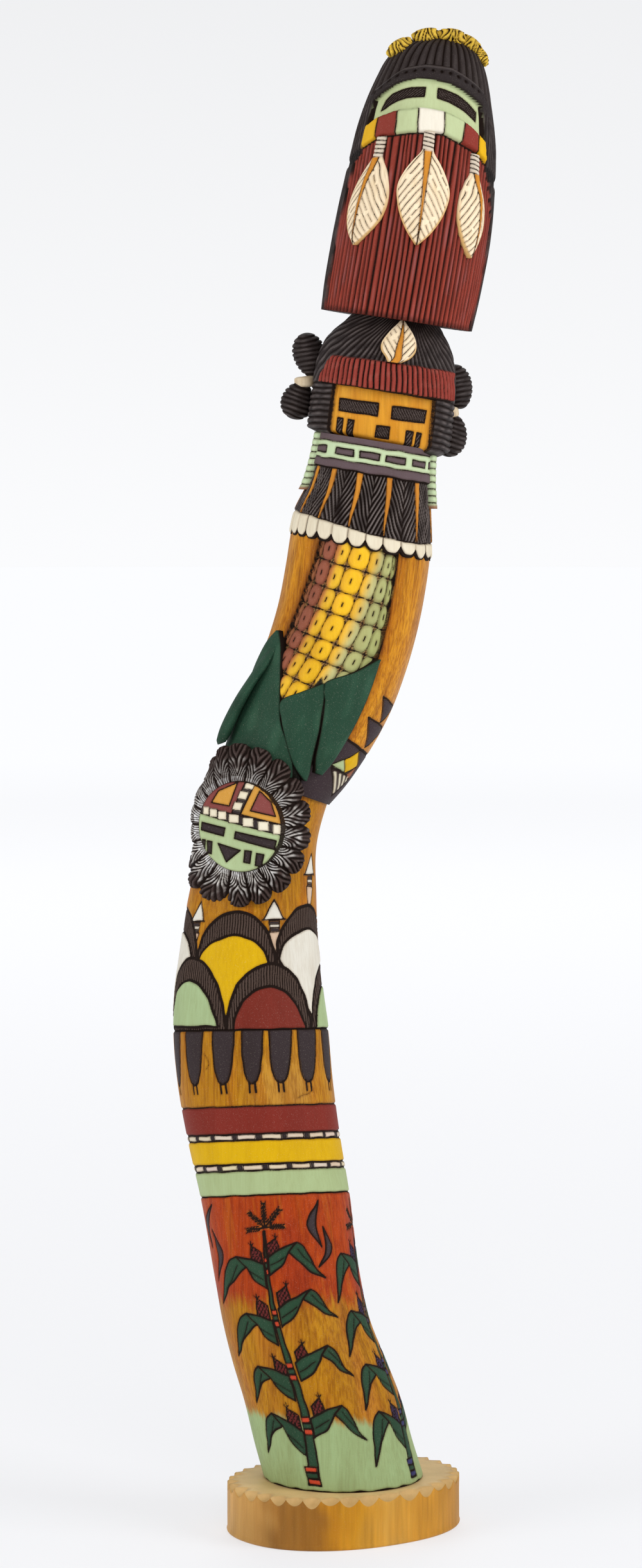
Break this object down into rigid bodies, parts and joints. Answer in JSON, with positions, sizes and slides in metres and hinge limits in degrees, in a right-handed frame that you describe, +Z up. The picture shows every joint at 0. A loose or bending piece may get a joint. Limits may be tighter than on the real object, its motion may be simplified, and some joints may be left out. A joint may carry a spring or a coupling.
{
  "type": "kachina doll",
  "caption": "Tall curved carved and painted wooden kachina doll with stacked faces, an ear of corn, a sun disc and painted bands, standing on a small gouged slab.",
  "frame": {"origin": "centre of the slab's underside, below the middle of the figure's foot", "axes": "+Z up along the figure, -Y the way the faces look, +X the viewer's right"},
  "size_m": [0.131, 0.0933, 0.6086],
  "materials": {
    "slab_wood": "satin stain with pale cut gouges",
    "painted_root": "matt stains and paint with burnt lines"
  },
  "bodies": {
    "root": {"base_slab": "slab_wood", "carved_figure": "painted_root"}
  },
  "joints": []
}
